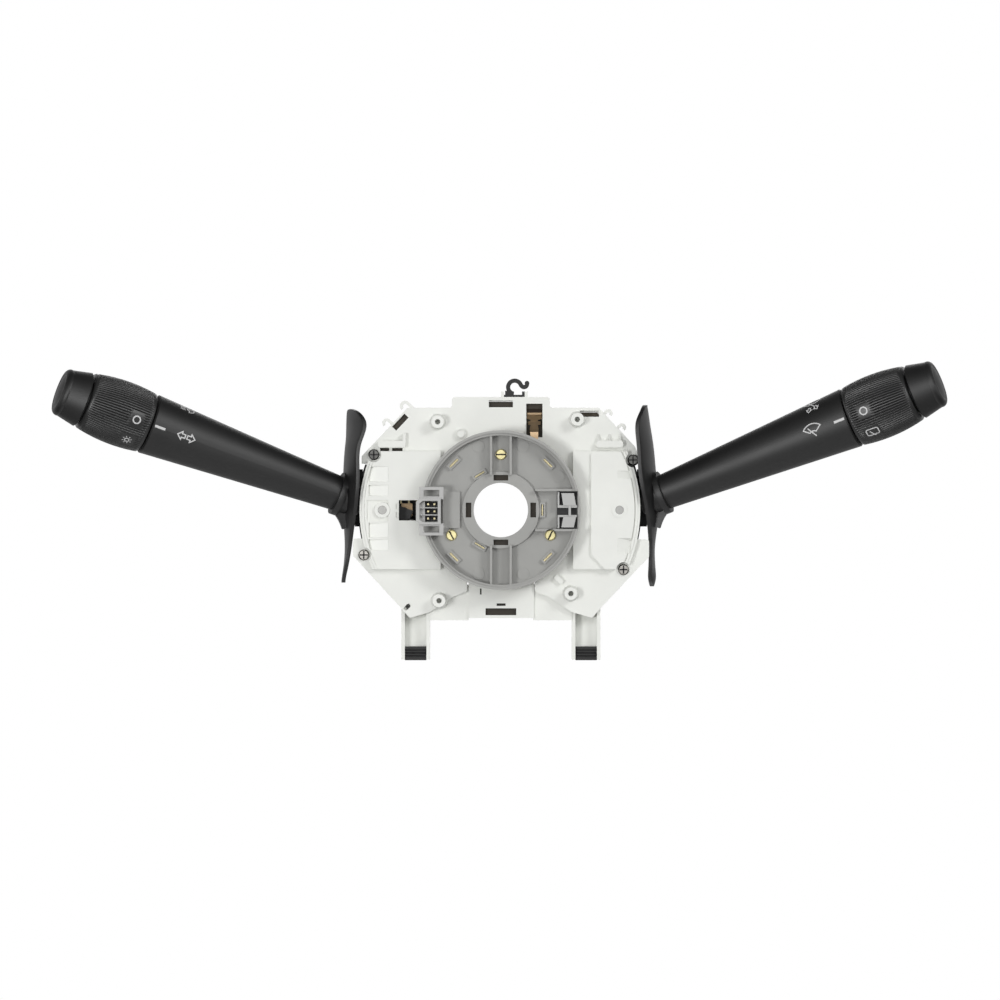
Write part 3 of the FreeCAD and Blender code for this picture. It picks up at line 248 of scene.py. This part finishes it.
# the centre and radius of the circle through three points
def circleThrough(a, b, c):
    ax, ay, bx, by, cx, cy = *a, *b, *c
    d = 2 * (ax * (by - cy) + bx * (cy - ay) + cx * (ay - by))
    ux = ((ax * ax + ay * ay) * (by - cy) + (bx * bx + by * by) * (cy - ay)
          + (cx * cx + cy * cy) * (ay - by)) / d
    uy = ((ax * ax + ay * ay) * (cx - bx) + (bx * bx + by * by) * (ax - cx)
          + (cx * cx + cy * cy) * (bx - ax)) / d
    return ux, uy, math.hypot(ax - ux, ay - uy)


crownTop = (stalk["ringStart"] + stalk["ringEnd"]) / 2 - stalk["crownShift"]
arcStation, arcHeight, arcRadius = circleThrough((crownStart, stalk["ringRoot"]),
                                                 (crownTop, stalk["ringCrown"]),
                                                 (crownEnd, stalk["ringTail"]))


def ringRadius(station):
    inside = min(max(station, crownStart), crownEnd)
    radius = arcHeight + math.sqrt(arcRadius ** 2 - (inside - arcStation) ** 2)
    return radius - stalk["lipSlope"] * abs(station - inside)


# finds a place that the photo shows, as mm along a stalk and mm across it, on its surface
def onStalk(photoPlace, radiusAt, rounds=8):
    along, across = photoPlace
    lean = math.radians(stalk["lean"])
    station = along
    for attempt in range(rounds):
        radius = radiusAt(station)
        angle = math.asin(max(-1.0, min(1.0, across / radius)))
        station = (along + radius * math.cos(angle) * math.sin(lean)) / math.cos(lean)
    return station, angle


def newMesh(name, points, faces, finish, body, smooth=True):
    mesh = bpy.data.meshes.new(name)
    mesh.from_pydata([tuple(point) for point in points], [], faces)
    mesh.update()
    piece = bpy.data.objects.new(name, mesh)
    bpy.context.scene.collection.objects.link(piece)
    mesh.materials.append(finishOf[finish])
    if smooth:
        mesh.shade_smooth()
    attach(piece, body)
    return piece


# Painted shade: thin dark sheets in the recesses of the screws and in the connector's cells, where these lie in
# shade, in mm.
# Each place is x, z and a turn in degrees, each bar half a length and half a width, and y the front.

shadeInlays = {
    "crosses": dict(body="housing", slot="black_base", y=-7.0, bars=((1.8, 0.33), (0.33, 1.8)),
                    places=((-57.1, 24.9, 0), (59.4, 22.5, 0), (-61.6, -20.2, 0),
                            (55.1, -26.8, 0))),
    "slots": dict(body="rotor", slot="brown_board", y=-14.85, bars=((2.3, 0.33),),
                  places=((0, 24.9, 0), (-22.19, -11.3, 117), (22.19, -11.3, -117))),
    "cells": dict(body="rotor", slot="black_base", y=-17.1, bars=((3.95, 1.3),),
                  places=((-32.2, -3.8, 0), (-32.2, -0.6, 0), (-32.2, 2.55, 0))),
}
shadeInlayDepth = 0.1
boxFaces = ((0, 1, 2, 3), (7, 6, 5, 4), (0, 4, 5, 1), (1, 5, 6, 2), (2, 6, 7, 3), (3, 7, 4, 0))


# builds one set of the dark sheets that paint shade into recesses
def makeShadeInlay(name, look):
    points = []
    faces = []
    for x, z, turn in look["places"]:
        place = Vector((x, look["y"], z))
        turned = Matrix.Rotation(math.radians(-turn), 3, "Y")
        for long, wide in look["bars"]:
            start = len(points)
            for y in (0, shadeInlayDepth):
                for a, b in ((-long, -wide), (long, -wide), (long, wide), (-long, wide)):
                    points.append((place + turned @ Vector((a, y, b))) * mm)
            faces += [tuple(start + corner for corner in face) for face in boxFaces]
    newMesh(name, points, faces, look["slot"], look["body"], smooth=False)


for name, look in shadeInlays.items():
    makeShadeInlay("painted_shade_" + name, look)
print("inlays:", len(shadeInlays))


# The ridged rings. A ridge has perRidge points round it, and its groove takes grooveShare of
# them to each side. The grooves fade out at the rims and round the smooth tiles of the symbols.

ridges = dict(count=76, perRidge=8, rows=44, depth=0.34, grooveShare=0.3, rim=1.1, fade=0.5,
              tileEdge=0.35, sharpFrom=70)

# where the photo shows each ring's two symbols (mm along, mm across), and half a tile's size
ringSymbols = {
    "left": dict(off=(116.6, -0.1), other=(117.9, -10.1), tile=3.4),
    "right": dict(off=(117.4, 0.8), other=(118.0, -9.4), tile=3.5),
}


def smoothStep(value):
    value = min(1.0, max(0.0, value))
    return value * value * (3 - 2 * value)


# how much of a groove is left at a place on the ring: none on the rims and on the tiles
def grooveLeft(station, angle, radius, tiles, halfTile):
    fromRim = min(station - stalk["ringStart"], stalk["ringEnd"] - station) - ridges["rim"]
    left = smoothStep(fromRim / ridges["fade"])
    for tileStation, tileAngle in tiles:
        alongOff = abs(station - tileStation) - halfTile
        gap = (angle - tileAngle + math.pi) % (2 * math.pi) - math.pi
        roundOff = abs(gap) * radius - halfTile
        left *= smoothStep(max(alongOff, roundOff) / ridges["tileEdge"] + 0.5)
    return left


def valleyAt(turn):
    fromGroove = abs((turn % ridges["perRidge"]) / ridges["perRidge"] - 0.5)
    return smoothStep(1 - fromGroove / ridges["grooveShare"])


# the faces between two circles of points that start at the numbers a and b
def band(a, b, turns):
    return [(a + turn, a + (turn + 1) % turns, b + (turn + 1) % turns, b + turn)
            for turn in range(turns)]


def makeRidgedRing(side):
    surface = StalkSurface(side)
    marks = ringSymbols[side]
    tiles = [onStalk(marks[name], ringRadius) for name in ("off", "other")]
    crown = [crownStart + (crownEnd - crownStart) * row / ridges["rows"]
             for row in range(ridges["rows"] + 1)]
    turns = ridges["count"] * ridges["perRidge"]
    angles = [2 * math.pi * turn / turns - math.pi for turn in range(turns)]
    points = []
    depths = []
    for station in (stalk["ringStart"], *crown, stalk["ringEnd"]):
        radius = ringRadius(station)
        for turn, angle in enumerate(angles):
            left = grooveLeft(station, angle, radius, tiles, marks["tile"])
            depths.append(valleyAt(turn) * left)
            points.append(surface.at(station, angle, radius - ridges["depth"] * depths[-1]))
    rows = list(range(0, len(points), turns))
    nearBore = len(points)
    farBore = nearBore + turns
    for station in (stalk["ringStart"], stalk["ringEnd"]):
        points += [surface.at(station, angle, stalk["ringBore"]) for angle in angles]
    faces = []
    for a, b in (*zip(rows, rows[1:]), (nearBore, 0), (rows[-1], farBore), (farBore, nearBore)):
        faces += band(a, b, turns)
    if side == "right":
        faces = [tuple(reversed(face)) for face in faces]
    ring = newMesh(side + "RidgedRing", points, faces, "ring_black", side + "_ring")
    ring.data.set_sharp_from_angle(angle=math.radians(ridges["sharpFrom"]))
    # each point's groove depth, which the ring's finish turns into painted shade in the grooves
    grooves = ring.data.attributes.new("groove", "FLOAT", "POINT")
    for index, depth in enumerate(depths):
        grooves.data[index].value = depth
    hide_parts(side + "_ring")


for side in ("left", "right"):
    makeRidgedRing(side)
print("ridged rings made")


# The printed symbols: each line is a thin strip that follows the turned surface, in mm

ink = dict(above=0.03, thickness=0.08, step=0.5, leastMitre=0.5)


def line(path, width=0.5):
    return dict(path=path, width=width, closed=False)


def outline(path, width=0.5):
    return dict(path=path, width=width, closed=True)


# points along a line, no further apart than a step
def strokePoints(path, closed):
    points = []
    ends = path + path[:1] if closed else path
    for start, end in zip(ends, ends[1:]):
        pieces = max(1, math.ceil(math.dist(start, end) / ink["step"]))
        points += [(start[0] + (end[0] - start[0]) * piece / pieces,
                    start[1] + (end[1] - start[1]) * piece / pieces) for piece in range(pieces)]
    return points if closed else points + [ends[-1]]


# the two edges of a line; leastMitre limits how far they reach out at a sharp corner
def strokeSides(points, width, closed):
    sides = []
    count = len(points)
    for index, point in enumerate(points):
        isStart = index == 0 and not closed
        isEnd = index == count - 1 and not closed
        here = Vector(point)
        inward = here - Vector(points[index - 1])
        outward = Vector(points[(index + 1) % count]) - here
        if isStart:
            inward = outward.copy()
        if isEnd:
            outward = inward.copy()
        inward.normalize()
        outward.normalize()
        middle = (inward + outward).normalized()
        normal = Vector((-middle.y, middle.x))
        square = normal.dot(Vector((-inward.y, inward.x)))
        reach = width / 2 / max(ink["leastMitre"], square)
        sides.append((here + normal * reach, here - normal * reach))
    return sides


def makePrint(name, side, body, radiusAt, centre, strokes):
    surface = StalkSurface(side)
    station, angle = centre
    toCap = -1 if side == "left" else 1
    points = []
    faces = []

    def put(place):
        spot = station + toCap * place[0]
        radius = radiusAt(spot)
        points.append(surface.at(spot, angle + place[1] / radius, radius + ink["above"]))

    for stroke in strokes:
        path = strokePoints(stroke["path"], stroke["closed"])
        sides = strokeSides(path, stroke["width"], stroke["closed"])
        start = len(points)
        for left, right in sides:
            put(left)
            put(right)
        count = len(sides)
        for index in range(count if stroke["closed"] else count - 1):
            here = start + 2 * index
            after = start + 2 * ((index + 1) % count)
            faces.append((here, here + 1, after + 1, after))
    if toCap > 0:
        faces = [tuple(reversed(face)) for face in faces]
    printed = newMesh(name, points, faces, "symbol_white", body, smooth=False)
    depth = printed.modifiers.new("inkDepth", "SOLIDIFY")
    depth.thickness = ink["thickness"] * mm
    depth.offset = -1


# points on an arc in degrees; one that isn't a whole circle keeps its last point
def circlePath(x, y, radius, start=0, end=360, steps=28):
    angles = [math.radians(start + (end - start) * step / steps)
              for step in range(steps + (end - start < 360))]
    return [(x + radius * math.cos(angle), y + radius * math.sin(angle)) for angle in angles]


def offRing():
    return [outline(circlePath(0, 0, 1.65), 0.58)]


def indexBar():
    return [line([(-2.5, 0), (2.5, 0)], 1.1)]


def lampShape(rays=8, rayStart=1.55, rayEnd=2.25):
    strokes = [outline(circlePath(0, 0, 1.0), 0.42)]
    for ray in range(rays):
        turn = math.radians((ray + 0.5) * 360 / rays)
        strokes.append(line([(reach * math.cos(turn), reach * math.sin(turn))
                             for reach in (rayStart, rayEnd)], 0.36))
    return strokes


def arrowPath(x, y, size, direction):
    corners = [(-0.5, -0.22), (-0.5, 0.22), (-0.05, 0.22), (-0.05, 0.5), (0.5, 0),
               (-0.05, -0.5), (-0.05, -0.22)]
    turn = math.radians(direction)
    return [(x + size * (px * math.cos(turn) - py * math.sin(turn)),
             y + size * (px * math.sin(turn) + py * math.cos(turn))) for px, py in corners]


def turnArrows():
    return [outline(arrowPath(-2.35, 0, 3.7, 180)), outline(arrowPath(2.35, 0, 3.7, 0))]


def beamShape():
    lens = circlePath(0.4, 0, 2.4, -90, 90) + circlePath(0.4, 0, 0.9, 90, 270, 8)
    return [outline(lens)] + [line([(-3.9, y), (-1.5, y)], 0.4) for y in (1.8, 0.6, -0.6, -1.8)]


def frontWiper():
    fan = circlePath(0, -2.6, 5.6, 138, 42, 14) + circlePath(0, -2.6, 2.3, 50, 130, 8)
    return [outline(fan), line([(-1.9, 1.5), (0.9, -2.9)])]


def rearWiper():
    box = []
    for x, y, start in ((2.0, 1.0, 0), (-2.0, 1.0, 90), (-2.0, -1.0, 180), (2.0, -1.0, 270)):
        box += circlePath(x, y, 0.8, start, start + 90, 4)
    return [outline(box), line([(-1.2, 0.7), (0.6, -2.6)])]


def washShape():
    return frontWiper() + [outline(arrowPath(-1.6, -4.6, 2.6, 250), 0.42),
                           outline(arrowPath(1.9, -4.6, 2.6, 290), 0.42)]


# each print: its place in the photo (mm along the stalk, mm across), on ring or lever
prints = {
    "leftOff": dict(side="left", on="ring", place=ringSymbols["left"]["off"],
                    strokes=offRing()),
    "leftLamp": dict(side="left", on="ring", place=ringSymbols["left"]["other"],
                     strokes=lampShape()),
    "leftIndex": dict(side="left", on="lever", place=(105.7, 0.2), strokes=indexBar()),
    "leftArrows": dict(side="left", on="lever", place=(93.4, 0.3), strokes=turnArrows()),
    "leftBeam": dict(side="left", on="lever", place=(97.0, 12.1), strokes=beamShape()),
    "rightOff": dict(side="right", on="ring", place=ringSymbols["right"]["off"],
                     strokes=offRing()),
    "rightRearWiper": dict(side="right", on="ring", place=ringSymbols["right"]["other"],
                           strokes=rearWiper()),
    "rightIndex": dict(side="right", on="lever", place=(105.8, 0.8), strokes=indexBar()),
    "rightFrontWiper": dict(side="right", on="lever", place=(93.3, 1.1), strokes=frontWiper()),
    "rightWash": dict(side="right", on="lever", place=(97.6, 12.2), strokes=washShape()),
}
for name, mark in prints.items():
    radiusAt = ringRadius if mark["on"] == "ring" else leverRadius
    body = mark["side"] + ("_ring" if mark["on"] == "ring" else "_stalk")
    makePrint(name, mark["side"], body, radiusAt, onStalk(mark["place"], radiusAt),
              mark["strokes"])
print("printed symbols:", len(prints))


# Stage and light, with lengths in m

# a pale disc that fades between two distances from its middle into the backdrop
floorLook = dict(height=-0.30, radius=1.6, corners=96, fadeFrom=0.1, fadeTo=0.6,
                 color=(0.78, 0.78, 0.78), rough=0.9)


def makeStage():
    floorMaterial, floorShader = newMaterial("paleFloor", floorLook["color"], floorLook["rough"],
                                             specular=0.0)
    tree = floorMaterial.node_tree
    coords = tree.nodes.new("ShaderNodeTexCoord")
    length = tree.nodes.new("ShaderNodeVectorMath")
    length.operation = "LENGTH"
    fade = tree.nodes.new("ShaderNodeMapRange")
    fade.interpolation_type = "SMOOTHSTEP"
    fade.inputs["From Min"].default_value = floorLook["fadeFrom"]
    fade.inputs["From Max"].default_value = floorLook["fadeTo"]
    clear = tree.nodes.new("ShaderNodeBsdfTransparent")
    mix = tree.nodes.new("ShaderNodeMixShader")
    tree.links.new(coords.outputs["Object"], length.inputs[0])
    tree.links.new(length.outputs["Value"], fade.inputs["Value"])
    tree.links.new(fade.outputs["Result"], mix.inputs["Fac"])
    tree.links.new(floorShader.outputs["BSDF"], mix.inputs[1])
    tree.links.new(clear.outputs["BSDF"], mix.inputs[2])
    tree.links.new(mix.outputs["Shader"], tree.nodes["Material Output"].inputs["Surface"])
    bpy.ops.mesh.primitive_circle_add(vertices=floorLook["corners"], radius=floorLook["radius"],
                                      fill_type="NGON", location=(0, 0, floorLook["height"]))
    floor = bpy.context.object
    floor.name = "floor"
    floor.data.materials.append(floorMaterial)


# the white backdrop, the dim studio that shiny pieces mirror before it, and the fill on the
# rest; a mirrored direction goes from studio to backdrop between studioTo and backdropFrom in Y
surroundings = dict(backdrop=1.0, studio=0.025, fill=0.30, studioTo=0.55, backdropFrom=0.95)


def makeWorld():
    world = bpy.data.worlds.new("studio")
    bpy.context.scene.world = world
    world.use_nodes = True
    tree = world.node_tree
    tree.nodes.clear()
    path = tree.nodes.new("ShaderNodeLightPath")
    shown = {name: tree.nodes.new("ShaderNodeBackground") for name in ("fill", "mirrored", "seen")}
    for background in shown.values():
        background.inputs["Color"].default_value = (1, 1, 1, 1)
    shown["fill"].inputs["Strength"].default_value = surroundings["fill"]
    shown["seen"].inputs["Strength"].default_value = surroundings["backdrop"]
    coords = tree.nodes.new("ShaderNodeTexCoord")
    direction = tree.nodes.new("ShaderNodeSeparateXYZ")
    behind = tree.nodes.new("ShaderNodeMapRange")
    behind.inputs["From Min"].default_value = surroundings["studioTo"]
    behind.inputs["From Max"].default_value = surroundings["backdropFrom"]
    behind.inputs["To Min"].default_value = surroundings["studio"]
    behind.inputs["To Max"].default_value = surroundings["backdrop"]
    tree.links.new(coords.outputs["Generated"], direction.inputs["Vector"])
    tree.links.new(direction.outputs["Y"], behind.inputs["Value"])
    tree.links.new(behind.outputs["Result"], shown["mirrored"].inputs["Strength"])
    last = shown["fill"]
    for ray, name in (("Is Glossy Ray", "mirrored"), ("Is Transmission Ray", "seen"),
                      ("Is Camera Ray", "seen")):
        mix = tree.nodes.new("ShaderNodeMixShader")
        tree.links.new(path.outputs[ray], mix.inputs["Fac"])
        tree.links.new(last.outputs[0], mix.inputs[1])
        tree.links.new(shown[name].outputs["Background"], mix.inputs[2])
        last = mix
    output = tree.nodes.new("ShaderNodeOutputWorld")
    tree.links.new(last.outputs[0], output.inputs["Surface"])


# soft round lamps that face the middle of the switch, with their power in W: right and left
# stand before it where the photo's stalks mirror them, front between them, rear behind it and
# the side lamps beyond its ends
lamps = {
    "right": dict(place=(1.25, -1.8, 0.85), size=0.7, power=14),
    "left": dict(place=(-0.68, -1.65, -0.10), size=0.36, power=9.5),
    "front": dict(place=(0.05, -2.3, 0.3), size=1.1, power=9),
    "rear": dict(place=(0.2, 1.7, 0.6), size=1.0, power=5),
    "rightSide": dict(place=(2.0, -0.1, 0.4), size=0.9, power=4.5),
    "leftSide": dict(place=(-2.0, -0.1, 0.4), size=0.9, power=4.5),
}


def makeLamps():
    for name, lamp in lamps.items():
        data = bpy.data.lights.new(name, "AREA")
        data.shape = "DISK"
        data.size = lamp["size"]
        data.energy = lamp["power"]
        light = bpy.data.objects.new(name, data)
        light.location = lamp["place"]
        light.rotation_euler = (-Vector(lamp["place"])).to_track_quat("-Z", "Y").to_euler()
        bpy.context.scene.collection.objects.link(light)


# the photo's square view, in mm: how much it shows, its middle, how far off the camera stands
# and how far it sees
photoView = dict(width=450, centerX=-0.4, centerZ=4.5, distance=5000, reach=100000, sensor=36)


def makeCamera():
    data = bpy.data.cameras.new("photoCamera")
    data.sensor_width = photoView["sensor"]
    data.lens = photoView["sensor"] * photoView["distance"] / photoView["width"]
    data.clip_end = photoView["reach"] * mm
    camera = bpy.data.objects.new("photoCamera", data)
    camera.location = (photoView["centerX"] * mm, -photoView["distance"] * mm,
                       photoView["centerZ"] * mm)
    camera.rotation_euler = (math.radians(90), 0, 0)
    bpy.context.scene.collection.objects.link(camera)
    bpy.context.scene.camera = camera


makeStage()
makeWorld()
makeLamps()
makeCamera()
bpy.context.scene.view_settings.view_transform = "Standard"
print("stage, light and camera ready")
